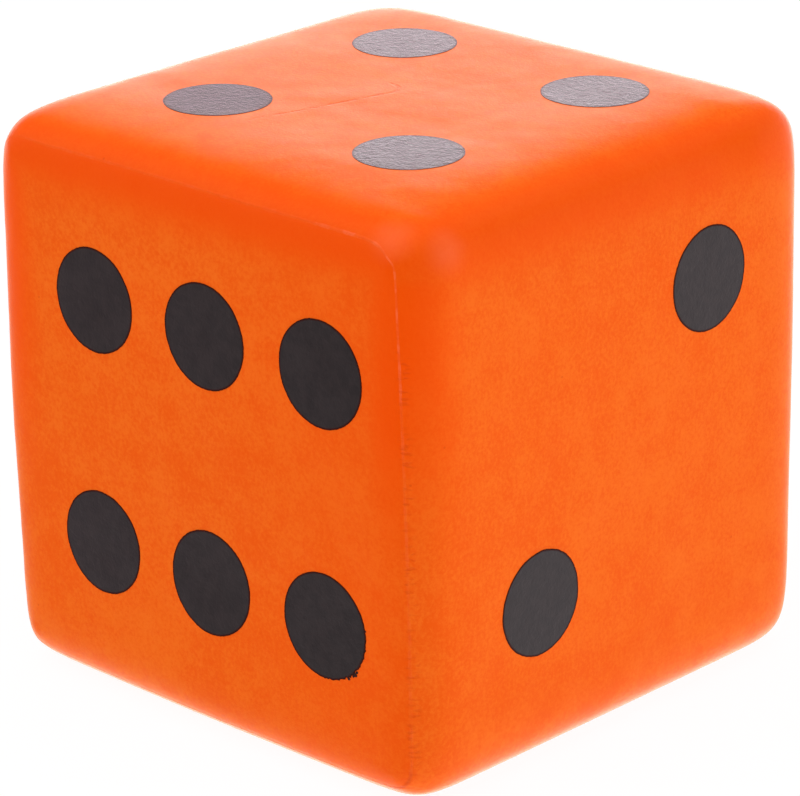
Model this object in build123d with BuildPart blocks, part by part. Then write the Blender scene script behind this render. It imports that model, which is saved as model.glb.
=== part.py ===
from build123d import *
import os

# Giant yard die: one moulded block of soft foam inside a coloured skin, with
# printed pips. The skin is two mouldings that meet at a parting line close
# behind the face with six pips: a five-sided tray and a shallow lid.
# Millimetres, +Z up. The origin is at the middle of the base.

# ---- driving sizes ----
side = 200.0               # width and height of the die
depth = 196.0              # front to back, slightly less across the lid
edge_radius = 17.5         # rounding of every outer edge
skin_thickness = 1.5       # both skin mouldings
lid_depth = 3.6            # the parting line, behind the front face
pip_diameter = 35.8        # printed pips
ink_thickness = 0.2        # ink film, flush with the skin around it

# ---- pip spacing on each kind of face, all as half distances ----
six_column_pitch = 52.3    # the six has three columns this far apart
six_row_half = 43.1
two_width_half = 41.5
two_height_half = 44.8
four_width_half = 43.9
four_depth_half = 45.2
plain_half = 44.0          # the three and the five

# ---- how far each print sits from the middle of its face ----
six_offset = (6.1, 0.6)
two_offset = (0.6, 4.0)
four_offset = (-0.2, 4.0)
no_offset = (0.0, 0.0)

# ---- derived sizes ----
half_side = side / 2
half_depth = depth / 2
core_side = side - 2 * skin_thickness
core_depth = depth - 2 * skin_thickness
core_radius = edge_radius - skin_thickness
parting_y = -half_depth + lid_depth
recess_depth = ink_thickness

# ---- the six faces: each plane looks out of the die, u to the right and up v ----
middle_height = half_side
front_face = Plane(
    origin=(0, -half_depth, middle_height), x_dir=(1, 0, 0), z_dir=(0, -1, 0)
)
back_face = Plane(
    origin=(0, half_depth, middle_height), x_dir=(-1, 0, 0), z_dir=(0, 1, 0)
)
right_face = Plane(
    origin=(half_side, 0, middle_height), x_dir=(0, 1, 0), z_dir=(1, 0, 0)
)
left_face = Plane(
    origin=(-half_side, 0, middle_height), x_dir=(0, -1, 0), z_dir=(-1, 0, 0)
)
top_face = Plane(origin=(0, 0, side), x_dir=(1, 0, 0), z_dir=(0, 0, 1))
bottom_face = Plane(origin=(0, 0, 0), x_dir=(1, 0, 0), z_dir=(0, 0, -1))

# Opposite faces add up to seven. Each print is a face, its offset and its
# pips, named by their place on the face as u (right) and v (up).
prints = {
    "one": (back_face, no_offset, {
        "centre": (0, 0),
    }),
    "two": (right_face, two_offset, {
        "lower_front": (-two_width_half, -two_height_half),
        "upper_back": (two_width_half, two_height_half),
    }),
    "three": (bottom_face, no_offset, {
        "left_back": (-plain_half, -plain_half),
        "centre": (0, 0),
        "right_front": (plain_half, plain_half),
    }),
    "four": (top_face, four_offset, {
        "left_front": (-four_width_half, -four_depth_half),
        "right_front": (four_width_half, -four_depth_half),
        "left_back": (-four_width_half, four_depth_half),
        "right_back": (four_width_half, four_depth_half),
    }),
    "five": (left_face, no_offset, {
        "lower_back": (-plain_half, -plain_half),
        "lower_front": (plain_half, -plain_half),
        "centre": (0, 0),
        "upper_back": (-plain_half, plain_half),
        "upper_front": (plain_half, plain_half),
    }),
    "six": (front_face, six_offset, {
        "lower_left": (-six_column_pitch, -six_row_half),
        "lower_middle": (0, -six_row_half),
        "lower_right": (six_column_pitch, -six_row_half),
        "upper_left": (-six_column_pitch, six_row_half),
        "upper_middle": (0, six_row_half),
        "upper_right": (six_column_pitch, six_row_half),
    }),
}


def pip_places(number):
    """Name and centre (u, v) of each pip of one print, on its own face."""
    face, offset, pips = prints[number]
    return {
        place: (u + offset[0], v + offset[1]) for place, (u, v) in pips.items()
    }


def save(piece, node):
    """Label a finished piece and write it as its own STEP file."""
    piece.label = node
    export_step(piece, f"parts/{node}.step")


os.makedirs("parts", exist_ok=True)

# ---- foam core: the soft block that fills the skins ----
with BuildPart() as foam_core:
    with BuildSketch(Plane.XY.offset(skin_thickness)):
        Rectangle(core_side, core_depth)
    extrude(amount=core_side)
    fillet(foam_core.edges(), radius=core_radius)

# ---- the whole skin: the outer block less the core, with pip recesses ----
with BuildPart() as skin:
    with BuildSketch(Plane.XY):
        Rectangle(side, depth)
    extrude(amount=side)
    fillet(skin.edges(), radius=edge_radius)
    add(foam_core.part, mode=Mode.SUBTRACT)
    for number, (face, offset, pips) in prints.items():
        with BuildSketch(face):
            with Locations(*pip_places(number).values()):
                Circle(pip_diameter / 2)
        extrude(amount=-recess_depth, mode=Mode.SUBTRACT)

# ---- tray and lid: the skin parted on a plane behind the front face ----
parting_plane = Plane(origin=(0, parting_y, middle_height), z_dir=(0, 1, 0))

with BuildPart() as skin_tray:
    add(skin.part)
    split(bisect_by=parting_plane, keep=Keep.TOP)

with BuildPart() as skin_lid:
    add(skin.part)
    split(bisect_by=parting_plane, keep=Keep.BOTTOM)

save(foam_core.part, "foam_core")
save(skin_tray.part, "skin_tray")
save(skin_lid.part, "skin_lid")

# ---- printed pips: one thin round film each, filling its recess ----
for number, (face, offset, pips) in prints.items():
    for place, centre in pip_places(number).items():
        with BuildPart() as pip:
            with BuildSketch(face):
                with Locations(centre):
                    Circle(pip_diameter / 2)
            extrude(amount=-ink_thickness)
        save(pip.part, f"pip_{number}_{place}")
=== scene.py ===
import math

import bmesh
import bpy
from bpy.props import FloatProperty, FloatVectorProperty, IntProperty, PointerProperty
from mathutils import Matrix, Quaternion, Vector, noise


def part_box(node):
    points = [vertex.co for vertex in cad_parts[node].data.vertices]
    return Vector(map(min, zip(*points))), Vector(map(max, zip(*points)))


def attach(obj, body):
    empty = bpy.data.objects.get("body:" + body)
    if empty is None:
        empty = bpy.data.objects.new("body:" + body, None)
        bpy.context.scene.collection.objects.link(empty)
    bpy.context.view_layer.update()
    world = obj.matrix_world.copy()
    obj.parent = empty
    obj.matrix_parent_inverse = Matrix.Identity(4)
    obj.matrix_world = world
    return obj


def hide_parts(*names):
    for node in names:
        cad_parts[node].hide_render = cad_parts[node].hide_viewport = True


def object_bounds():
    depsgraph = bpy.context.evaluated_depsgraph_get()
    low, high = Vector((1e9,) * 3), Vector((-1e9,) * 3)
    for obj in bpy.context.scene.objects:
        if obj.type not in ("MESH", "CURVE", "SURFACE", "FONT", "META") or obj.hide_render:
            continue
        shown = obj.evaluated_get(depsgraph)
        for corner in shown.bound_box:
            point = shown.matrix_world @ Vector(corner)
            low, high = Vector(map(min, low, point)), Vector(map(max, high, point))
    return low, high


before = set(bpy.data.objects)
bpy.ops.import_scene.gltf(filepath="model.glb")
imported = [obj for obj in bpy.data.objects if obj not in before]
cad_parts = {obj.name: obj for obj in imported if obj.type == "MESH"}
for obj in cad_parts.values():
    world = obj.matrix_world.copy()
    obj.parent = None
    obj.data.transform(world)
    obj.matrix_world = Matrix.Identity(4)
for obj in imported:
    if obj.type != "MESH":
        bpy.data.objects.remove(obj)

CAD_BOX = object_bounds()

bl_info = {
    "name": "Giant Yard Die",
    "version": (1, 0, 0),
    "blender": (4, 5, 0),
    "location": "View3D > Sidebar > Yard Die",
    "description": "A moulded foam yard die: foam core, two skin mouldings and printed pips",
    "category": "Add Mesh",
}

MM = 0.001

# ---- places and sizes that the frame gives ----
LOW, HIGH = CAD_BOX
MIDDLE = (LOW + HIGH) / 2
PARTING_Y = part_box("skin_lid")[1].y
SKIN_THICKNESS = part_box("foam_core")[0].z - LOW.z
PIP_NODES = sorted(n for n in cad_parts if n.startswith("pip_"))

# the parting line's drift, and its climb towards the face with six on the near edge
SEAM_DRIFT = math.radians(1.5)
SEAM_CLIMB = math.radians(15.5)
# faces that meet at less than this are shaded as one surface
SMOOTH_ANGLE = math.radians(50)
# gap left between the foam core and the skin
CORE_GAP = 0.4 * MM
# where the flash line is painted palest, a painted highlight by the near top corner
NEAR_CORNER = (HIGH.x - 0.01, LOW.y, HIGH.z - 0.022)
# rings of the ink film from its outline inwards, its corners and how far off it starts
INK_RINGS = (0.15 * MM, 0.25 * MM, 0.4 * MM, 2 * MM, 3 * MM, 4 * MM, 4 * MM)
INK_CORNERS = 160
INK_LIFT = 3 * MM
# the way that the ragged print's rough edge faces
RAGGED_WAY = Vector((0.74, 0.0, -0.67))
# painted highlights on the near top corner: centre, core radius and faded radius
CORNER_HIGHLIGHTS = (
    ((0.0850, -0.0925, 0.1950), 0.0, 11 * MM),
    ((0.0985, -0.0800, 0.1890), 0.0, 11 * MM),
)
# the one print with a ragged edge, and its drops as (across, up, radius) from its middle
RAGGED_PIP = "pip_six_lower_right"
STRAY_INK = (
    (0.0134, -0.0132, 0.75 * MM), (0.0127, -0.0139, 0.45 * MM), (0.0142, -0.0121, 0.5 * MM),
    (0.0106, -0.0154, 0.5 * MM), (0.0179, 0.0032, 0.45 * MM),
)
# how far the ink spread past its nominal outline
INK_SPREAD = 0.30 * MM
# the duller print on the top, as (centre, core radius, faded radius)
DULL_PRINT = (((-0.044, -0.041, 0.200), 20 * MM, 40 * MM),)
# single dark specks in the skin
SPECKS = (
    ((0.0813, -0.0620, 0.2000), 0.3 * MM, 0.9 * MM),
)


# ======================================================================
# settings
# ======================================================================
class YardDieShape(bpy.types.PropertyGroup):
    edge_radius: FloatProperty(
        name="Edge Radius",
        description="Rounding of every outer edge",
        default=15.5 * MM, min=2 * MM, max=40 * MM, subtype="DISTANCE", unit="LENGTH",
    )
    ring_steps: IntProperty(
        name="Edge Steps",
        description="Faces across each rounded edge before smoothing",
        default=9, min=4, max=16,
    )
    face_cells: IntProperty(
        name="Face Cells",
        description="Faces along each flat side before smoothing",
        default=32, min=8, max=60,
    )
    shoulder: FloatProperty(
        name="Shoulder",
        description="How far the top falls away before its front and right edges",
        default=1.3 * MM, min=0.0, max=4 * MM, subtype="DISTANCE", unit="LENGTH",
    )
    bow: FloatProperty(
        name="Bow",
        description="How far the middle of an edge stands past its ends",
        default=0.30 * MM, min=0.0, max=4 * MM, subtype="DISTANCE", unit="LENGTH",
    )
    foot: FloatProperty(
        name="Foot",
        description="How far the lid's lower edge spreads where the die rests on it",
        default=1.1 * MM, min=0.0, max=4 * MM, subtype="DISTANCE", unit="LENGTH",
    )
    corner_sink: FloatProperty(
        name="Corner Sink",
        description="How far the eight corners are rounded off past the edges",
        default=0.6 * MM, min=0.0, max=4 * MM, subtype="DISTANCE", unit="LENGTH",
    )
    slump: FloatProperty(
        name="Slump",
        description="How far the lid's lower left corner is drawn in",
        default=1.3 * MM, min=0.0, max=4 * MM, subtype="DISTANCE", unit="LENGTH",
    )
    easing: IntProperty(
        name="Easing",
        description="Smoothing passes where flat faces run into round edges",
        default=14, min=0, max=30,
    )
    right_easing: IntProperty(
        name="Right Easing",
        description="Further smoothing passes along the top's right edge",
        default=26, min=0, max=60,
    )
    bead_height: FloatProperty(
        name="Bead Height",
        description="Height of the low bead that carries the flash",
        default=0.28 * MM, min=0.0, max=2 * MM, subtype="DISTANCE", unit="LENGTH",
    )
    ripple: FloatProperty(
        name="Ripple",
        description="Height of the gentle unevenness of the moulded foam",
        default=0.5 * MM, min=0.0, max=3 * MM, subtype="DISTANCE", unit="LENGTH",
    )
    flash_height: FloatProperty(
        name="Flash Height",
        description="Height of the moulding flash along the parting line",
        default=0.22 * MM, min=0.0, max=2 * MM, subtype="DISTANCE", unit="LENGTH",
    )
    seam_gap: FloatProperty(
        name="Seam Gap",
        description="Gap between the two skin mouldings at the parting line",
        default=0.03 * MM, min=0.0, max=1 * MM, subtype="DISTANCE", unit="LENGTH",
    )
    ink_height: FloatProperty(
        name="Ink Height",
        description="How far the printed ink stands on the skin",
        default=0.12 * MM, min=0.02 * MM, max=1 * MM, subtype="DISTANCE", unit="LENGTH",
    )


class YardDieFinish(bpy.types.PropertyGroup):
    skin_colour: FloatVectorProperty(
        name="Skin",
        description="Colour of the moulded skin",
        default=(0.855, 0.137, 0.0095), size=3, min=0.0, max=1.0, subtype="COLOR",
    )
    skin_deep_colour: FloatVectorProperty(
        name="Skin, Deep",
        description="Redder colour of the cloudy patches in the skin",
        default=(0.820, 0.092, 0.0039), size=3, min=0.0, max=1.0, subtype="COLOR",
    )
    # Redder, darker skin: round the lid's edges, and painted shade along the top's rounded edges
    # and beside the near upright edge
    rich_colour_and_shade: FloatVectorProperty(
        name="Skin, Rich and Shade",
        description="Redder, darker skin colour round the lid's edges, and painted shade along the top's rounded edges and beside the near upright edge",
        default=(0.865, 0.071, 0.0010), size=3, min=0.0, max=1.0, subtype="COLOR",
    )
    ink_colour: FloatVectorProperty(
        name="Ink",
        description="Colour of the printed pips",
        default=(0.0100, 0.0066, 0.0064), size=3, min=0.0, max=1.0, subtype="COLOR",
    )
    bloom_colour: FloatVectorProperty(
        name="Skin Bloom",
        description="Tint of the soft bloom that the skin shows at a low angle",
        default=(0.50, 1.00, 0.30), size=3, min=0.0, max=1.0, subtype="COLOR",
    )
    # Paler colour of the flash line, and of the painted highlights on the near top corner
    flash_and_highlight_colour: FloatVectorProperty(
        name="Skin, Flash and Highlight",
        description="Paler colour of flash, and of painted highlights on the near top corner",
        default=(0.92, 0.155, 0.055), size=3, min=0.0, max=1.0, subtype="COLOR",
    )
    # Colour of real dark specks, and painted shade in the seam's short creases, the seam's foot
    # by the base and the top's crease
    speck_and_crease_shade_colour: FloatVectorProperty(
        name="Marks",
        description="Colour of the specks, and painted shade in the seam's short creases and the top's crease",
        default=(0.62, 0.050, 0.003), size=3, min=0.0, max=1.0, subtype="COLOR",
    )
    rim_colour: FloatVectorProperty(
        name="Ink Edge",
        description="Brown that the thin edge of the ink shows over the skin",
        default=(0.040, 0.0065, 0.0028), size=3, min=0.0, max=1.0, subtype="COLOR",
    )
    haze_colour: FloatVectorProperty(
        name="Ink Haze",
        description="Tint of the bloom that the ink shows at a low angle",
        default=(1.0, 0.52, 0.68), size=3, min=0.0, max=1.0, subtype="COLOR",
    )
    foam_colour: FloatVectorProperty(
        name="Foam",
        description="Colour of the foam under the skin",
        default=(0.86, 0.22, 0.05), size=3, min=0.0, max=1.0, subtype="COLOR",
    )


class YardDieStage(bpy.types.PropertyGroup):
    azimuth: FloatProperty(
        name="Azimuth", description="Camera's turn about the die from straight in front",
        default=math.radians(43.89), subtype="ANGLE", unit="ROTATION",
    )
    elevation: FloatProperty(
        name="Elevation", description="Camera's height above the horizon",
        default=math.radians(20.52), subtype="ANGLE", unit="ROTATION",
    )
    roll: FloatProperty(
        name="Roll", description="Camera's turn about its own axis",
        default=math.radians(-0.763), subtype="ANGLE", unit="ROTATION",
    )
    distance: FloatProperty(
        name="Distance", description="Camera to the middle of the die",
        default=1.494, subtype="DISTANCE", unit="LENGTH",
    )
    lens: FloatProperty(
        name="Lens", description="Focal length in millimetres on a 36 mm sensor",
        default=196.9, min=10.0,
    )
    aim_right: FloatProperty(
        name="Aim Right", description="Where the camera aims, right of the die's middle",
        default=-0.9 * MM, subtype="DISTANCE", unit="LENGTH",
    )
    aim_up: FloatProperty(
        name="Aim Up", description="Where the camera aims, above the die's middle",
        default=-6.31 * MM, subtype="DISTANCE", unit="LENGTH",
    )
    floor_size: FloatProperty(
        name="Floor Size", description="Width of the plain floor",
        default=8.0, subtype="DISTANCE", unit="LENGTH",
    )
    table_light: FloatProperty(
        name="Table Light", description="Light that the white table throws up",
        default=2.4, min=0.0,
    )
    backdrop_light: FloatProperty(
        name="Backdrop Light", description="Light of the backdrop behind the die",
        default=3.85, min=0.0,
    )
    roof_light: FloatProperty(
        name="Roof Light", description="Light of the tent's roof",
        default=1.62, min=0.0,
    )
    wall_light: FloatProperty(
        name="Wall Light", description="Light of the wall on the camera's right",
        default=1.0, min=0.0,
    )
    lamp_light: FloatProperty(
        name="Lamp Light", description="Light of the soft lamp on the camera's left",
        default=0.80, min=0.0,
    )


# ======================================================================
# mesh helpers
# ======================================================================
def deselect_all():
    """Leave object mode with nothing selected."""
    if bpy.context.object and bpy.context.object.mode != "OBJECT":
        bpy.ops.object.mode_set(mode="OBJECT")
    bpy.ops.object.select_all(action="DESELECT")


def make_active(piece):
    """Select one object only and make it the active one."""
    deselect_all()
    piece.select_set(True)
    bpy.context.view_layer.objects.active = piece


def edit(piece, kind="VERT"):
    """Go into edit mode on one piece with nothing selected."""
    make_active(piece)
    bpy.ops.object.mode_set(mode="EDIT")
    bpy.ops.mesh.select_mode(type=kind)
    bpy.ops.mesh.select_all(action="DESELECT")


def stop_editing():
    bpy.ops.object.mode_set(mode="OBJECT")


def select_where(piece, part, test):
    """Select the vertices, edges or faces of a piece in edit mode that pass a test."""
    mesh = bmesh.from_edit_mesh(piece.data)
    for element in getattr(mesh, part):
        if test(element):
            element.select_set(True)
    mesh.select_flush_mode()
    bmesh.update_edit_mesh(piece.data)


def add_modifier(piece, kind, **settings):
    """Add a modifier with the given settings and apply it."""
    make_active(piece)
    modifier = piece.modifiers.new(kind.title(), kind)
    for name, value in settings.items():
        setattr(modifier, name, value)
    bpy.ops.object.modifier_apply(modifier=modifier.name)


def clouds(name, size, depth=2):
    """A procedural cloud pattern for a Displace modifier."""
    texture = bpy.data.textures.new(name, "CLOUDS")
    texture.noise_scale = size
    texture.noise_depth = depth
    return texture


def smooth(value, start, end):
    """0 before start, 1 after end, and an even S between them."""
    t = min(max((value - start) / (end - start), 0.0), 1.0)
    return t * t * (3 - 2 * t)


def weight_group(piece, name, weight_at):
    """A vertex group whose weight is worked out from each vertex."""
    group = piece.vertex_groups.new(name=name)
    for vertex in piece.data.vertices:
        weight = weight_at(vertex)
        if weight > 0.001:
            group.add([vertex.index], weight, "REPLACE")
    return group


def signs(place):
    """A place on the outside as parts of x, y and z, from -1 to 1 across the die."""
    half = (HIGH - LOW) / 2
    return [(place[i] - MIDDLE[i]) / half[i] for i in range(3)]


# ======================================================================
# the moulded block
# ======================================================================
def rounded_block(name, low, high, radius, steps, cells):
    """A box with round edges and corners, in rows of faces that run round the parting line."""
    deselect_all()
    bpy.ops.mesh.primitive_cube_add(size=1, location=(low + high) / 2, scale=high - low)
    bpy.ops.object.transform_apply(location=True, rotation=True, scale=True)
    block = bpy.context.object
    block.name = name
    edit(block, "EDGE")
    select_where(block, "edges", lambda e: abs(e.verts[0].co.y - e.verts[1].co.y) > radius)
    bpy.ops.mesh.bevel(offset=radius, segments=steps, affect="EDGES", clamp_overlap=False)
    bpy.ops.mesh.select_all(action="DESELECT")
    select_where(block, "edges", lambda e: abs(e.verts[0].co.y - e.verts[1].co.y) < radius)
    bpy.ops.mesh.bevel(
        offset=radius * 0.9995, segments=steps, affect="EDGES", clamp_overlap=False
    )
    bpy.ops.mesh.select_all(action="SELECT")
    bpy.ops.mesh.remove_doubles(threshold=radius * 0.01)
    for axis in range(3):
        normal = Vector((0, 0, 0))
        normal[axis] = 1
        start, end = low[axis] + radius, high[axis] - radius
        for step in range(1, cells):
            slice_at(normal, start + (end - start) * step / cells)
    bpy.ops.mesh.normals_make_consistent(inside=False)
    stop_editing()
    return block


def slice_at(normal, distance):
    """Cut a row of edges through the whole mesh in edit mode, square to an axis."""
    bpy.ops.mesh.select_all(action="SELECT")
    bpy.ops.mesh.bisect(plane_co=normal * distance, plane_no=normal, threshold=1e-6)


def seam_angle(place, level):
    """Where the parting line runs on the rounded edge here, as an angle from the front."""
    near_corner = smooth(place.x, 0.079, 0.0885)
    climb = min(max((place.z - 0.030) / 0.155, 0.0), 1.0) ** 1.6
    drift = SEAM_DRIFT * noise.noise(place * 16 + Vector((3.1, 7.7, 1.3)))
    return level - SEAM_CLIMB * near_corner * climb + drift


def wander_seam(block, radius):
    """Slide the rows round the front edges, so that the parting line isn't quite straight."""
    inner_low = LOW + Vector((radius,) * 3)
    inner_high = HIGH - Vector((radius,) * 3)
    level = math.acos((inner_low.y - PARTING_Y) / radius)
    quarter = math.pi / 2
    for vertex in block.data.vertices:
        if vertex.co.y >= inner_low.y:
            continue
        core = Vector([
            min(max(c, lo), hi) for c, lo, hi in zip(vertex.co, inner_low, inner_high)
        ])
        out = vertex.co - core
        side = Vector((out.x, 0, out.z))
        if side.length < 1e-6:
            continue
        angle = math.atan2(side.length, -out.y)
        seam = seam_angle(vertex.co, level)
        if angle < level:
            angle = angle * seam / level
        else:
            angle = quarter - (quarter - angle) * (quarter - seam) / (quarter - level)
        reach = out.length
        vertex.co = core + side.normalized() * reach * math.sin(angle)
        vertex.co.y = core.y - reach * math.cos(angle)


def off_base(place):
    """0 on the flat base and 1 from a little way up the sides."""
    return smooth(place.z, LOW.z + 0.5 * MM, LOW.z + 14 * MM)


def shoulder_weight(vertex):
    """1 along the top's front edge, slight along its right one, and 0 further in."""
    place = vertex.co
    front = smooth(-place.y, 0.058, 0.088) * smooth(place.x - LOW.x, 0, 30 * MM)
    right = 0.15 * smooth(place.x, 0.062, 0.090) * smooth(HIGH.y - place.y, 15 * MM, 60 * MM)
    return min(front + right - front * right, 1.0) * smooth(place.z, 0.140, 0.185)


def bow_weight(vertex):
    """1 at the middle of an edge or a face and 0 at the corners."""
    spread = sum(1 / max(part * part, 1e-4) for part in signs(vertex.co))
    return max(1 - 3 / spread, 0.0) * off_base(vertex.co)


def foot_weight(vertex):
    """1 along the middle of the lid's lower edge, falling off up the face."""
    across, forward, _ = signs(vertex.co)
    low_down = 1 - smooth(vertex.co.z, LOW.z + 12 * MM, LOW.z + 70 * MM)
    return (1 - min(across * across, 1.0)) * smooth(-forward, 0.70, 0.95) * low_down


def corner_weight(vertex):
    """1 on the rounded corners and 0 elsewhere."""
    return smooth(min(abs(part) for part in signs(vertex.co)), 0.70, 0.94)


def slump_weight(vertex):
    """1 at the lid's lower left corner, falling off up and along its edges."""
    away = (vertex.co - Vector((LOW.x, LOW.y, LOW.z))).length
    return 1 - smooth(away, 12 * MM, 110 * MM)


def soften(block, shape):
    """Swell the edges, draw in the corners and spread the foot, as soft foam does."""
    weight_group(block, "shoulder", shoulder_weight)
    weight_group(block, "bow", bow_weight)
    weight_group(block, "sink", lambda v: (1 - bow_weight(v)) * off_base(v.co))
    weight_group(block, "foot", foot_weight)
    weight_group(block, "corner", lambda v: corner_weight(v) * off_base(v.co))
    weight_group(block, "slump", slump_weight)
    for name, strength, direction_name in (
        ("shoulder", -shape.shoulder, "Z"), ("bow", shape.bow / 2, "NORMAL"),
        ("sink", -shape.bow / 2, "NORMAL"), ("foot", -shape.foot, "Y"),
        ("corner", -shape.corner_sink, "NORMAL"),
        ("slump", shape.slump, "X"), ("slump", shape.slump * 0.5, "Y"),
    ):
        add_modifier(
            block, "DISPLACE", strength=strength, mid_level=0.0, vertex_group=name,
            direction=direction_name,
        )


def on_right_edge(vertex):
    """Whether a vertex is by the top's right edge, clear of both corners."""
    x, y, z = vertex.co
    return x > 0.055 and z > 0.165 and -0.078 < y < 0.062


def moulded_block(name, shape, inset, cells):
    """The whole outside of the die, or a copy of it set in by the skin's thickness."""
    radius = shape.edge_radius - inset
    margin = Vector((inset,) * 3)
    block = rounded_block(name, LOW + margin, HIGH - margin, radius, shape.ring_steps, cells)
    edit(block)
    bpy.ops.mesh.select_all(action="SELECT")
    bpy.ops.mesh.vertices_smooth(factor=0.5, repeat=shape.easing)
    bpy.ops.mesh.select_all(action="DESELECT")
    select_where(block, "verts", on_right_edge)
    bpy.ops.mesh.vertices_smooth(factor=0.5, repeat=shape.right_easing)
    stop_editing()
    return block


def roughen(block, shape):
    """Give the sides the slight unevenness of moulded foam, and leave the base flat."""
    weight_group(block, "uneven", lambda v: smooth(v.co.z, LOW.z + 1 * MM, LOW.z + 25 * MM))
    add_modifier(
        block, "DISPLACE", texture=clouds("swell", 0.075), strength=shape.ripple,
        mid_level=0.5, vertex_group="uneven",
    )
    add_modifier(
        block, "DISPLACE", texture=clouds("dimple", 0.018), strength=shape.ripple * 0.16,
        mid_level=0.5, vertex_group="uneven",
    )


# ======================================================================
# materials
# ======================================================================
class Value:
    """A shader socket that can be used in ordinary arithmetic."""

    def __init__(self, shader, socket):
        self.shader = shader
        self.socket = socket

    def _join(self, operation, first, second):
        return self.shader.node(
            "ShaderNodeMath", {"operation": operation}, {0: first, 1: second}
        ).out(0)

    def __add__(self, other):
        return self._join("ADD", self, other)

    def __radd__(self, other):
        return self._join("ADD", other, self)

    def __sub__(self, other):
        return self._join("SUBTRACT", self, other)

    def __rsub__(self, other):
        return self._join("SUBTRACT", other, self)

    def __mul__(self, other):
        return self._join("MULTIPLY", self, other)

    def __rmul__(self, other):
        return self._join("MULTIPLY", other, self)

    def __pow__(self, other):
        return self._join("POWER", self, other)


class Node:
    """A shader node whose outputs come back as values."""

    def __init__(self, shader, node):
        self.shader = shader
        self.node = node

    def out(self, name):
        return Value(self.shader, self.node.outputs[name])


class Shader:
    """Builds one node tree, of a material or of the world."""

    def __init__(self, owner):
        owner.use_nodes = True
        self.tree = owner.node_tree
        self.tree.nodes.clear()

    def node(self, kind, settings=None, inputs=None):
        """Add a node: its settings first, then a value or a link for each socket."""
        node = self.tree.nodes.new(kind)
        for name, value in (settings or {}).items():
            setattr(node, name, value)
        for name, value in (inputs or {}).items():
            if isinstance(value, Value):
                self.tree.links.new(value.socket, node.inputs[name])
            else:
                node.inputs[name].default_value = value
        return Node(self, node)

    def place(self):
        """Where a point of the piece is, in metres."""
        return self.node("ShaderNodeTexCoord").out("Object")

    def noise(self, place, scale, detail=2.0, roughness=0.5, distortion=0.0):
        return self.node(
            "ShaderNodeTexNoise", None,
            {"Vector": place, "Scale": scale, "Detail": detail, "Roughness": roughness,
             "Distortion": distortion},
        ).out("Fac")

    def stretch(self, place, scale):
        """The same place with each axis scaled, so that a pattern runs one way."""
        return self.node(
            "ShaderNodeVectorMath", {"operation": "MULTIPLY"}, {0: place, 1: scale}
        ).out("Vector")

    def rise(self, value, start, end):
        """0 below start and 1 above end, with an even S between them."""
        return self.node(
            "ShaderNodeMapRange", {"interpolation_type": "SMOOTHSTEP"},
            {"Value": value, "From Min": start, "From Max": end},
        ).out("Result")

    def size(self, value):
        """A value without its sign."""
        return self.node("ShaderNodeMath", {"operation": "ABSOLUTE"}, {0: value}).out(0)

    def away(self, place, centre):
        """How far a place is from a centre, in metres."""
        return self.node(
            "ShaderNodeVectorMath", {"operation": "DISTANCE"}, {0: place, 1: centre}
        ).out("Value")

    def attribute(self, name):
        """A number kept on the piece's own vertices."""
        return self.node("ShaderNodeAttribute", {"attribute_name": name}).out("Fac")

    def blend(self, factor, first, second):
        """From the first colour to the second by a factor."""
        return self.node(
            "ShaderNodeMix", {"data_type": "RGBA"}, {"Factor": factor, 6: first, 7: second}
        ).out(2)

    def spots(self, place, spots):
        """1 at each spot, given as (centre, core radius, faded radius), and 0 away from them."""
        total = 0.0
        for centre, core, faded in spots:
            total = total + (1.0 - self.rise(self.away(place, centre), core, faded))
        return total

    def bump(self, height, distance, strength=1.0, normal=None):
        inputs = {"Height": height, "Distance": distance, "Strength": strength}
        if normal is not None:
            inputs["Normal"] = normal
        return self.node("ShaderNodeBump", None, inputs).out("Normal")

    def surface(self, inputs):
        """Finish a material with one Principled shader."""
        principled = self.node("ShaderNodeBsdfPrincipled", None, inputs)
        self.node("ShaderNodeOutputMaterial", None, {"Surface": principled.out("BSDF")})


def opaque(colour):
    return (*colour, 1.0)


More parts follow.
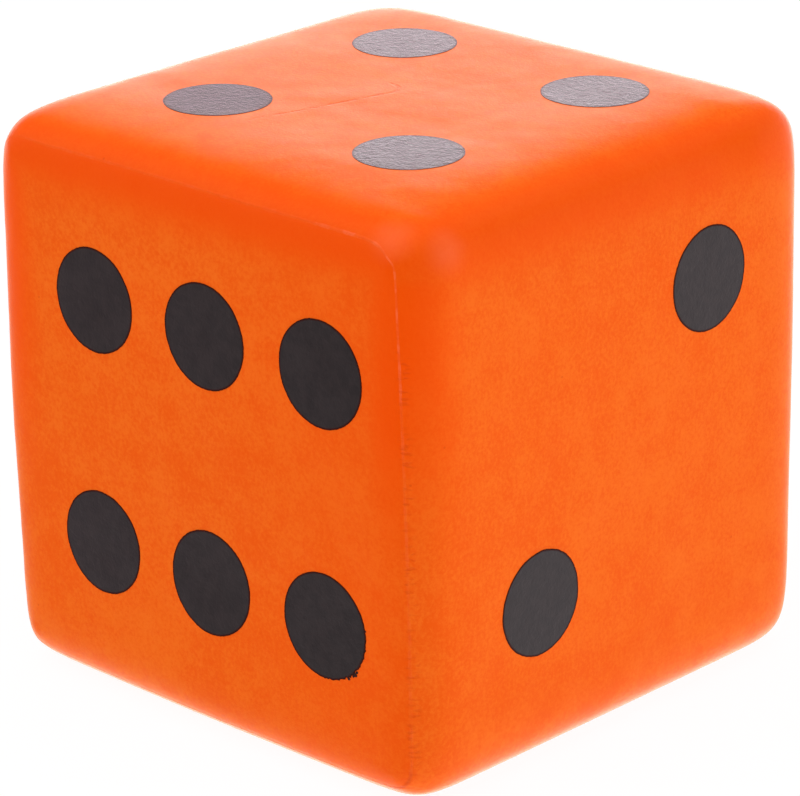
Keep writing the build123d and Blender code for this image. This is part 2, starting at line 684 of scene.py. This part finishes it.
def skin_material(finish):
    """Satin orange skin: cloudy colour, fine wrinkled grain, pale flash and a few specks, with
    painted shade along edges and in creases and painted highlights on the near top corner.
    """
    shader = Shader(bpy.data.materials.new("orange_skin"))
    place = shader.place()
    cloud = shader.noise(place, 16, detail=4, roughness=0.55)
    patch = shader.noise(place, 95, detail=3, roughness=0.6)
    fleck = shader.noise(place, 700, detail=3, roughness=0.7)
    deep = shader.rise(cloud * 0.20 + patch * 0.30 + fleck * 0.50, 0.37, 0.63)
    colour = shader.blend(deep, opaque(finish.skin_colour), opaque(finish.skin_deep_colour))
    # painted shade along the top's rounded edges and beside the near upright edge, and a redder,
    # darker colour round the lid's edges
    pigment = shader.attribute("pigment")
    colour = shader.blend(pigment * 0.85, colour, opaque(finish.rich_colour_and_shade))
    # painted highlights: two pale patches on the near top corner
    corner_highlight = shader.spots(place, CORNER_HIGHLIGHTS) * (0.12 + 0.6 * patch)
    colour = shader.blend(corner_highlight, colour, opaque(finish.flash_and_highlight_colour))
    # pale flash along the seam, with a painted highlight near the near top corner
    flash = pale_flash_and_highlight(shader, place)
    colour = shader.blend(flash, colour, opaque(finish.flash_and_highlight_colour))
    crease = top_crease(shader, place)
    pore = shader.node("ShaderNodeTexVoronoi", None, {"Vector": place, "Scale": 48.0})
    speck = 1.0 - shader.rise(pore.out("Distance"), 0.012, 0.026)
    speck = shader.spots(place, SPECKS) + speck * 0.6
    ticks = seam_ticks(shader, place)
    # painted shade in the top's crease and the seam's creases and foot; real dark specks in the
    # skin
    mark = crease * 0.45 + speck * 0.7 + ticks * 0.42
    mark = shader.node("ShaderNodeMath", {"operation": "MINIMUM"}, {0: mark, 1: 1.0}).out(0)
    colour = shader.blend(mark, colour, opaque(finish.speck_and_crease_shade_colour))
    grain = shader.noise(place, 1300, detail=2, roughness=0.65)
    wrinkle = shader.noise(place, 600, detail=3, roughness=0.6, distortion=0.4)
    ripple = shader.noise(place, 42, detail=2, roughness=0.4)
    normal = shader.bump(grain * 0.5 + wrinkle * 0.5, 0.21 * MM, 0.6)
    normal = shader.bump(ripple, 1.6 * MM, 0.38, normal)
    normal = shader.bump(0.0 - crease - ticks * 0.6, 0.18 * MM, 0.6, normal)
    rough = 0.21 + 0.08 * patch
    shader.surface({
        "Base Color": colour, "Roughness": rough, "Normal": normal,
        "IOR": 1.45, "Specular IOR Level": 0.032, "Sheen Weight": 0.15,
        "Sheen Roughness": 0.35, "Sheen Tint": opaque(finish.bloom_colour),
    })
    return bpy.data.materials["orange_skin"]


def pale_flash_and_highlight(shader, place):
    """Where the thin pale line of flash shows along the parting line, painted paler still near
    the near top corner as a painted highlight.
    """
    seam = shader.attribute("seam")
    across = shader.size(seam)
    wide = 0.10 * MM + 0.30 * MM * shader.noise(place, 420, detail=1)
    line = 1.0 - shader.rise(across - wide, 0.0, 0.14 * MM)
    broken = shader.rise(shader.noise(place, 190, detail=3, roughness=0.7), 0.44, 0.66)
    # painted highlight: the flash is painted paler near the near top corner
    near = 1.0 - shader.rise(shader.away(place, NEAR_CORNER), 0.018, 0.060)
    return line * (0.04 + 0.14 * broken + 0.34 * broken * near + 0.08 * near)


def seam_ticks(shader, place):
    """Short creases across the parting line, on the near upright edge, and a line in the seam
    just above the base: dents, and painted shade in the skin's colour.
    """
    seam = shader.attribute("seam")
    band = shader.rise(seam, -1.2 * MM, -0.2 * MM) * (1.0 - shader.rise(seam, 0.8 * MM, 3 * MM))
    split = shader.node("ShaderNodeSeparateXYZ", None, {0: place})
    x, z = split.out("X"), split.out("Z")
    upright = shader.rise(x, 0.082, 0.087) * (1.0 - shader.rise(z, 0.150, 0.172))
    short = shader.noise(shader.stretch(place, (0.45, 0.45, 1.5)), 500, detail=3)
    cluster = 0.45 + 0.55 * shader.rise(shader.noise(place, 55, detail=1), 0.38, 0.55)
    across = shader.size(seam)
    # painted shade: a dark line in the seam just above the base
    toe = (1.0 - shader.rise(across, 0.1 * MM, 0.6 * MM)) * (1.0 - shader.rise(z, 0.013, 0.018))
    ticks = shader.rise(short, 0.50, 0.66) * band * upright * cluster
    return ticks + toe * shader.rise(x, 0.080, 0.086)


def top_crease(shader, place):
    """A faint curved crease in the top skin, with a small hook at its far end: a dent, and
    painted shade in the skin's colour.
    """
    wobble = shader.noise(place, 90, detail=2) - 0.5
    split = shader.node("ShaderNodeSeparateXYZ", None, {0: place})
    x, y, z = (split.out(axis) for axis in ("X", "Y", "Z"))
    slant = x - (-0.0065 + 0.27 * y) + 0.004 * wobble
    run = shader.rise(y, -0.056, -0.040) * (1.0 - shader.rise(y, -0.001, 0.002))
    across = shader.size(slant)
    stroke = (1.0 - shader.rise(across, 0.1 * MM, 1.3 * MM)) * run
    dx = x + 0.0135
    dy = y - 0.0030
    ring = (dx * dx + dy * dy) ** 0.5 - 0.0073 + 0.003 * wobble
    across = shader.size(ring)
    hook = (1.0 - shader.rise(across, 0.1 * MM, 1.3 * MM)) * shader.rise(y, -0.003, 0.001)
    faint = shader.rise(shader.noise(place, 240, detail=3, roughness=0.7), 0.36, 0.60)
    stroke = stroke + hook * shader.rise(x, -0.018, -0.012)
    return stroke * faint * shader.rise(z, 0.196, 0.199)


def ink_material(finish, name, relief, edge, rough, ior):
    """Black screen ink that dried in fine wrinkles, glossier than the skin."""
    shader = Shader(bpy.data.materials.new(name))
    place = shader.place()
    wrinkle = shader.noise(place, 900, detail=3, roughness=0.6, distortion=0.5)
    fold = shader.noise(place, 380, detail=2, roughness=0.5, distortion=0.5)
    normal = shader.bump(wrinkle * 0.55 + fold * 0.45, relief, 0.8)
    cloud = shader.noise(place, 90, detail=4, roughness=0.6)
    dull = 0.14 * shader.spots(place, DULL_PRINT)
    mottle = shader.rise(shader.noise(place, 260, detail=3, roughness=0.6), 0.36, 0.64)
    colour = shader.blend(
        mottle, opaque([c * 0.72 for c in finish.ink_colour]),
        opaque([c * 1.28 for c in finish.ink_colour]),
    )
    rim = shader.attribute("rim") * edge
    film = shader.node("ShaderNodeBsdfPrincipled", None, {
        "Base Color": colour, "Roughness": rough + 0.12 * cloud + dull, "Normal": normal,
        "IOR": ior, "Sheen Weight": 0.95, "Sheen Roughness": 0.3,
        "Sheen Tint": opaque(finish.haze_colour),
    })
    thin = shader.node("ShaderNodeBsdfPrincipled", None, {
        "Base Color": opaque(finish.rim_colour), "Roughness": 0.8, "Specular IOR Level": 0.0,
    })
    both = shader.node(
        "ShaderNodeMixShader", None, {0: rim, 1: film.out("BSDF"), 2: thin.out("BSDF")}
    )
    shader.node("ShaderNodeOutputMaterial", None, {"Surface": both.out(0)})
    return bpy.data.materials[name]


def foam_material(finish):
    """Open foam cells, as a cut through the block would show."""
    shader = Shader(bpy.data.materials.new("soft_foam"))
    place = shader.place()
    cells = shader.node(
        "ShaderNodeTexVoronoi", None, {"Vector": place, "Scale": 900.0}
    ).out("Distance")
    normal = shader.bump(cells, 0.4 * MM)
    shade = shader.noise(place, 40, detail=2)
    colour = shader.blend(
        shade, opaque(finish.foam_colour), opaque([c * 0.8 for c in finish.foam_colour])
    )
    shader.surface({"Base Color": colour, "Roughness": 0.9, "Normal": normal})
    return bpy.data.materials["soft_foam"]


def floor_material():
    """Plain white floor, bright enough to read as white, with a faint contact shade."""
    shader = Shader(bpy.data.materials.new("white_floor"))
    glow = shader.node("ShaderNodeEmission", None, {"Color": (1, 1, 1, 1), "Strength": 0.95})
    paint = shader.node("ShaderNodeBsdfDiffuse", None, {"Color": (0.05, 0.05, 0.05, 1)})
    both = shader.node("ShaderNodeAddShader", None, {0: glow.out(0), 1: paint.out(0)})
    shader.node("ShaderNodeOutputMaterial", None, {"Surface": both.out(0)})
    return bpy.data.materials["white_floor"]


def set_material(piece, material):
    piece.data.materials.clear()
    piece.data.materials.append(material)


def finish_piece(piece, name, nodes):
    """Name a piece, tie it to the frame and hide the CAD nodes that it stands for."""
    piece.name = name
    piece.data.name = name
    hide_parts(*nodes)
    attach(piece, "root")


# ======================================================================
# operators
# ======================================================================
class YARDDIE_OT_foam_core(bpy.types.Operator):
    """Model the foam block that fills the two skin mouldings"""

    bl_idname = "yard_die.foam_core"
    bl_label = "Foam Core"

    def execute(self, context):
        shape = context.scene.yard_die_shape
        finish = context.scene.yard_die_finish
        core = moulded_block("core", shape, SKIN_THICKNESS + CORE_GAP, shape.face_cells // 2)
        soften(core, shape)
        add_modifier(core, "SUBSURF", levels=1, render_levels=1)
        roughen(core, shape)
        make_active(core)
        bpy.ops.object.shade_smooth()
        set_material(core, foam_material(finish))
        finish_piece(core, "moulded_foam_core", ["foam_core"])
        return {"FINISHED"}


class YARDDIE_OT_skin(bpy.types.Operator):
    """Model the block's skin and part it into the tray and the lid"""

    bl_idname = "yard_die.skin"
    bl_label = "Skin Tray and Lid"

    def execute(self, context):
        shape = context.scene.yard_die_shape
        finish = context.scene.yard_die_finish
        block = moulded_block("skin", shape, 0.0, shape.face_cells)
        edit(block)
        for offset in (-1.0 * MM, -0.5 * MM, -0.2 * MM, 0.0, 0.2 * MM):
            slice_at(Vector((0, 1, 0)), PARTING_Y + offset)
        stop_editing()
        mark_seam(block)
        wander_seam(block, shape.edge_radius)
        soften(block, shape)
        add_modifier(block, "SUBSURF", levels=1, render_levels=1)
        roughen(block, shape)
        raise_flash(block, shape)
        mark_rich_colour_and_shade(block, shape)
        tray, lid = part_skin(block, shape)
        material = skin_material(finish)
        for piece, name in ((tray, "skin_tray"), (lid, "skin_lid")):
            add_modifier(
                piece, "SOLIDIFY", thickness=SKIN_THICKNESS, offset=-1, use_rim=True
            )
            make_active(piece)
            bpy.ops.object.shade_smooth_by_angle(angle=SMOOTH_ANGLE)
            set_material(piece, material)
            finish_piece(piece, "moulded_" + name, [name])
        return {"FINISHED"}


def mark_seam(block):
    """Keep each vertex's distance behind the parting line, and mark the lid's faces."""
    seam = block.data.attributes.new("seam", "FLOAT", "POINT")
    for vertex in block.data.vertices:
        seam.data[vertex.index].value = vertex.co.y - PARTING_Y
    block.data.materials.append(None)
    block.data.materials.append(None)
    for face in block.data.polygons:
        face.material_index = 1 if face.center.y < PARTING_Y else 0


def raise_flash(block, shape):
    """Lift a thin uneven line of flash at the seam, and sink the lid just inside it."""
    seam = [d.value for d in block.data.attributes["seam"].data]
    flash_half = 0.22 * MM
    weight_group(
        block, "flash", lambda v: math.exp(-(seam[v.index] / flash_half) ** 2)
    )
    valley_at, valley_half = -0.7 * MM, 0.5 * MM
    weight_group(
        block, "valley",
        lambda v: math.exp(-((seam[v.index] - valley_at) / valley_half) ** 2),
    )
    weight_group(
        block, "bead",
        lambda v: math.exp(-(seam[v.index] / (2.2 * MM)) ** 2) * off_base(v.co),
    )
    add_modifier(
        block, "DISPLACE", strength=shape.bead_height, mid_level=0.0, vertex_group="bead"
    )
    add_modifier(
        block, "DISPLACE", texture=clouds("flash", 0.006), strength=shape.flash_height,
        mid_level=0.25, vertex_group="flash",
    )
    add_modifier(
        block, "DISPLACE", texture=clouds("valley", 0.020),
        strength=-shape.flash_height * 0.3, mid_level=0.0, vertex_group="valley",
    )


def mark_rich_colour_and_shade(block, shape):
    """Mark where the colour is painted redder and darker: round the lid's edges, faintly over
    the lid's right half, and as painted shade below the near corner and along the top's rounded
    edges.
    """
    seam = [d.value for d in block.data.attributes["seam"].data]
    pigment = block.data.attributes.new("pigment", "FLOAT", "POINT")
    flat_x = HIGH.x - shape.edge_radius
    flat_z = HIGH.z - MIDDLE.z - shape.edge_radius
    for vertex in block.data.vertices:
        place = vertex.co
        reach = max(abs(place.x) - flat_x, abs(place.z - MIDDLE.z) - flat_z)
        on_lid = 1 - smooth(seam[vertex.index], -0.6 * MM, 0.5 * MM)
        # redder, darker colour round the lid's edges
        lid_rim = on_lid * smooth(reach, -14 * MM, 3 * MM) * smooth(place.z, 0.05, 0.14)
        # painted shade on the near upright edge below the top corner
        beside = smooth(place.x, 0.082, 0.089) * (1 - smooth(place.y, -0.095, -0.070))
        climb = smooth(place.z, 0.07, 0.165) * (1 - smooth(place.z, 0.178, 0.190))
        # painted shade along the top's rounded edges
        top_edge = smooth(place.z, 0.168, 0.187) * (1 - smooth(place.z, 0.1955, 0.1995))
        # the lid's right half also gets a faint share of the darker colour
        pigment.data[vertex.index].value = max(
            lid_rim, beside * climb, 0.8 * top_edge, 0.35 * on_lid * smooth(place.x, 0, 0.08)
        )


def part_skin(block, shape):
    """Split the marked lid from the tray and leave a hair's gap between them."""
    edit(block, "FACE")
    select_where(block, "faces", lambda f: f.material_index == 1)
    bpy.ops.mesh.separate(type="SELECTED")
    stop_editing()
    lid = next(o for o in bpy.context.selected_objects if o != block)
    edit(lid, "VERT")
    bpy.ops.mesh.select_non_manifold()
    bpy.ops.transform.translate(value=(0, -shape.seam_gap, 0))
    stop_editing()
    return block, lid


class YARDDIE_OT_pips(bpy.types.Operator):
    """Print the pips on the skin, one ink film for each"""

    bl_idname = "yard_die.pips"
    bl_label = "Printed Pips"

    def execute(self, context):
        shape = context.scene.yard_die_shape
        finish = context.scene.yard_die_finish
        tray = bpy.data.objects["moulded_skin_tray"]
        lid = bpy.data.objects["moulded_skin_lid"]
        ink = ink_material(finish, "black_ink", 0.13 * MM, 0.9, 0.31, 1.325)
        wrinkled_ink = ink_material(finish, "wrinkled_ink", 0.6 * MM, 0.35, 0.20, 1.46)
        low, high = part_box(PIP_NODES[0])
        radius = max(high - low) / 2 + INK_SPREAD
        disc = ink_disc(radius)
        for number, node in enumerate(PIP_NODES):
            skin = lid if node.startswith("pip_six") else tray
            pip = print_pip(disc, radius, node, skin, shape, seed=number)
            set_material(pip, wrinkled_ink if node.startswith("pip_four") else ink)
            finish_piece(pip, node.replace("pip_", "printed_pip_"), [node])
        bpy.data.objects.remove(disc)
        return {"FINISHED"}


def ink_film(radius, corners, widths):
    """A flat round film at the origin, facing up, in rings of the given widths."""
    deselect_all()
    bpy.ops.mesh.primitive_circle_add(vertices=corners, radius=radius, fill_type="NGON")
    film = bpy.context.object
    edit(film, "FACE")
    bpy.ops.mesh.select_all(action="SELECT")
    for width in widths:
        bpy.ops.mesh.inset(thickness=width)
    bpy.ops.mesh.poke()
    stop_editing()
    return film


def ink_disc(radius):
    """The film that every pip is copied from, with its thin edge marked."""
    disc = ink_film(radius, INK_CORNERS, INK_RINGS)
    rim = disc.data.attributes.new("rim", "FLOAT", "POINT")
    for vertex in disc.data.vertices:
        away = vertex.co.length
        rim.data[vertex.index].value = smooth(away, radius - 0.75 * MM, radius - 0.20 * MM)
    return disc


def copy_film(film, place, out, size=1.0):
    """A copy of a film with its own mesh, at its place and facing out."""
    copy = film.copy()
    copy.data = film.data.copy()
    bpy.context.collection.objects.link(copy)
    copy.location = place
    copy.rotation_euler = out.to_track_quat("Z", "Y").to_euler()
    copy.scale = (size, size, size)
    make_active(copy)
    bpy.ops.object.transform_apply(location=True, rotation=True, scale=True)
    return copy


def print_pip(disc, radius, node, skin, shape, seed):
    """A round ink film with slightly uneven edges, laid on the skin at its CAD place."""
    low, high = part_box(node)
    size = high - low
    axis = min(range(3), key=lambda i: size[i])
    centre = (low + high) / 2
    out = Vector((0, 0, 0))
    out[axis] = 1.0 if centre[axis] > MIDDLE[axis] else -1.0
    centre[axis] = HIGH[axis] if out[axis] > 0 else LOW[axis]
    above = centre + out * INK_LIFT
    pip = copy_film(disc, above, out)
    shake = Vector((seed * 5.3, seed * 2.1, seed * 3.7))
    for vertex in pip.data.vertices:
        arm = vertex.co - above
        if arm.length > radius * 0.96:
            turn = arm.normalized()
            wave = noise.noise(turn * 3 + shake) * 0.14 + noise.noise(turn * 22 + shake) * 0.12
            if node == RAGGED_PIP:
                burr = smooth(turn.dot(RAGGED_WAY), 0.45, 0.85)
                wave += burr * 0.7 * noise.noise(turn * 40 + shake)
            vertex.co += turn * wave * MM
    if node == RAGGED_PIP:
        add_droplets(pip, above, out)
    add_modifier(
        pip, "SHRINKWRAP", target=skin, wrap_method="PROJECT", use_negative_direction=True,
        use_positive_direction=True, use_project_x=axis == 0, use_project_y=axis == 1,
        use_project_z=axis == 2, project_limit=12 * MM, offset=0.01 * MM,
        wrap_mode="ABOVE_SURFACE",
    )
    add_modifier(pip, "SOLIDIFY", thickness=shape.ink_height, offset=1.0, use_rim=True)
    make_active(pip)
    bpy.ops.object.shade_smooth_by_angle(angle=SMOOTH_ANGLE)
    return pip


def add_droplets(pip, centre, out):
    """Join the small drops of stray ink that lie beside the ragged print."""
    bead = ink_film(1 * MM, 14, (0.3 * MM,))
    bead.data.attributes.new("rim", "FLOAT", "POINT")
    drops = []
    for across, up, radius in STRAY_INK:
        drop = copy_film(bead, centre + Vector((across, 0, up)), out, radius / MM)
        rim = drop.data.attributes["rim"]
        for vertex in drop.data.vertices:
            rim.data[vertex.index].value = 0.6
            spot = vertex.co * 1500
            shift = Vector([noise.noise(spot + Vector((0, 0, 9.7 * i))) for i in range(3)])
            vertex.co += shift * radius * 0.3
            vertex.co.y = centre.y
        drops.append(drop)
    bpy.data.objects.remove(bead)
    make_active(pip)
    for drop in drops:
        drop.select_set(True)
    bpy.ops.object.join()


class YARDDIE_OT_stage(bpy.types.Operator):
    """Lay the floor and set up the soft light and the camera"""

    bl_idname = "yard_die.stage"
    bl_label = "Floor, Light and Camera"

    def execute(self, context):
        stage = context.scene.yard_die_stage
        lay_floor(stage)
        light_tent(context.scene, stage)
        aim_camera(context.scene, stage)
        context.scene.view_settings.view_transform = "Standard"
        return {"FINISHED"}


def lay_floor(stage):
    """A plain floor at the die's base, seen by the camera only."""
    deselect_all()
    bpy.ops.mesh.primitive_plane_add(size=stage.floor_size, location=(0, 0, LOW.z))
    floor = bpy.context.object
    floor.name = "plain_floor"
    set_material(floor, floor_material())
    floor.visible_diffuse = False
    floor.visible_glossy = False
    floor.visible_shadow = False


def direction(azimuth, elevation):
    """Unit vector from the die towards a place round it."""
    level = math.cos(elevation)
    return Vector((
        math.sin(azimuth) * level, -math.cos(azimuth) * level, math.sin(elevation)
    ))


def light_tent(scene, stage):
    """A white tent: a lit table below, a bright backdrop behind and a softer roof above."""
    world = bpy.data.worlds.new("light_tent")
    scene.world = world
    shader = Shader(world)
    look = shader.node("ShaderNodeTexCoord").out("Generated")

    def towards(way):
        return shader.node(
            "ShaderNodeVectorMath", {"operation": "DOT_PRODUCT"}, {0: look, 1: way}
        ).out("Value")

    up = towards((0, 0, 1))
    behind = towards(-direction(stage.azimuth, 0.0))
    right = towards(direction(stage.azimuth + math.pi / 2, 0.0))
    table = stage.table_light * shader.rise(0.0 - up, 0.34, 0.80)
    roof = stage.roof_light * shader.rise(up, 0.15, 0.95)
    roof = roof * (1.0 - 0.9 * shader.rise(behind, 0.30, 0.75))
    low = 1.0 - shader.rise(up, 0.25, 0.41)
    shade = 1.0 - 0.75 * shader.rise(0.0 - up, 0.05, 0.45)
    dip = 1.0 - 0.50 * shader.rise(up, -0.10, 0.05) * (1.0 - shader.rise(up, 0.10, 0.27))
    backdrop = stage.backdrop_light * shader.rise(behind, 0.0, 1.05) * low * shade * dip
    wall = stage.wall_light * shader.rise(right, -0.5, 0.8) * low
    wall = wall * (1.0 - 0.42 * shader.rise(0.0 - up, 0.15, 0.45))
    side = towards(direction(stage.azimuth - math.radians(75), math.radians(30)))
    lamp = stage.lamp_light * shader.rise(side, 0.55, 0.95)
    strength = table + roof + backdrop + wall + lamp
    glow = shader.node(
        "ShaderNodeBackground", None, {"Color": (1, 1, 1, 1), "Strength": strength}
    )
    plain = shader.node("ShaderNodeBackground", None, {"Color": (1, 1, 1, 1), "Strength": 1.0})
    seen = shader.node("ShaderNodeLightPath").out("Is Camera Ray")
    both = shader.node(
        "ShaderNodeMixShader", None, {0: seen, 1: glow.out(0), 2: plain.out(0)}
    )
    shader.node("ShaderNodeOutputWorld", None, {"Surface": both.out(0)})


def aim_camera(scene, stage):
    """The camera, at its angle and distance, aimed a little below the die's middle."""
    back = direction(stage.azimuth, stage.elevation)
    side = direction(stage.azimuth + math.pi / 2, 0.0)
    over = back.cross(side)
    place = MIDDLE + back * stage.distance
    aim = MIDDLE + side * stage.aim_right + over * stage.aim_up
    deselect_all()
    bpy.ops.object.camera_add(location=place)
    camera = bpy.context.object
    camera.name = "camera"
    camera.data.lens = stage.lens
    camera.data.sensor_width = 36.0
    camera.data.clip_start = 0.05
    camera.data.clip_end = 50.0
    level = (aim - place).to_track_quat("-Z", "Y")
    turn = level @ Quaternion((0, 0, 1), stage.roll)
    camera.rotation_euler = turn.to_euler()
    scene.camera = camera


class YARDDIE_PT_panel(bpy.types.Panel):
    """The die's pieces and settings"""

    bl_idname = "YARDDIE_PT_panel"
    bl_label = "Yard Die"
    bl_space_type = "VIEW_3D"
    bl_region_type = "UI"
    bl_category = "Yard Die"

    def draw(self, context):
        layout = self.layout
        for operator in OPERATORS:
            layout.operator(operator.bl_idname)
        for group in (context.scene.yard_die_shape, context.scene.yard_die_finish):
            for name in group.__annotations__:
                layout.prop(group, name)


OPERATORS = (
    YARDDIE_OT_foam_core,
    YARDDIE_OT_skin,
    YARDDIE_OT_pips,
    YARDDIE_OT_stage,
)
SETTINGS = {
    "yard_die_shape": YardDieShape,
    "yard_die_finish": YardDieFinish,
    "yard_die_stage": YardDieStage,
}


def register():
    for group in SETTINGS.values():
        bpy.utils.register_class(group)
    for name, group in SETTINGS.items():
        setattr(bpy.types.Scene, name, PointerProperty(type=group))
    for operator in OPERATORS:
        bpy.utils.register_class(operator)
    bpy.utils.register_class(YARDDIE_PT_panel)


def unregister():
    bpy.utils.unregister_class(YARDDIE_PT_panel)
    for operator in reversed(OPERATORS):
        bpy.utils.unregister_class(operator)
    for name in SETTINGS:
        delattr(bpy.types.Scene, name)
    for group in reversed(SETTINGS.values()):
        bpy.utils.unregister_class(group)


def main():
    register()
    bpy.ops.yard_die.foam_core()
    bpy.ops.yard_die.skin()
    bpy.ops.yard_die.pips()
    bpy.ops.yard_die.stage()
    deselect_all()


if __name__ == "__main__":
    main()
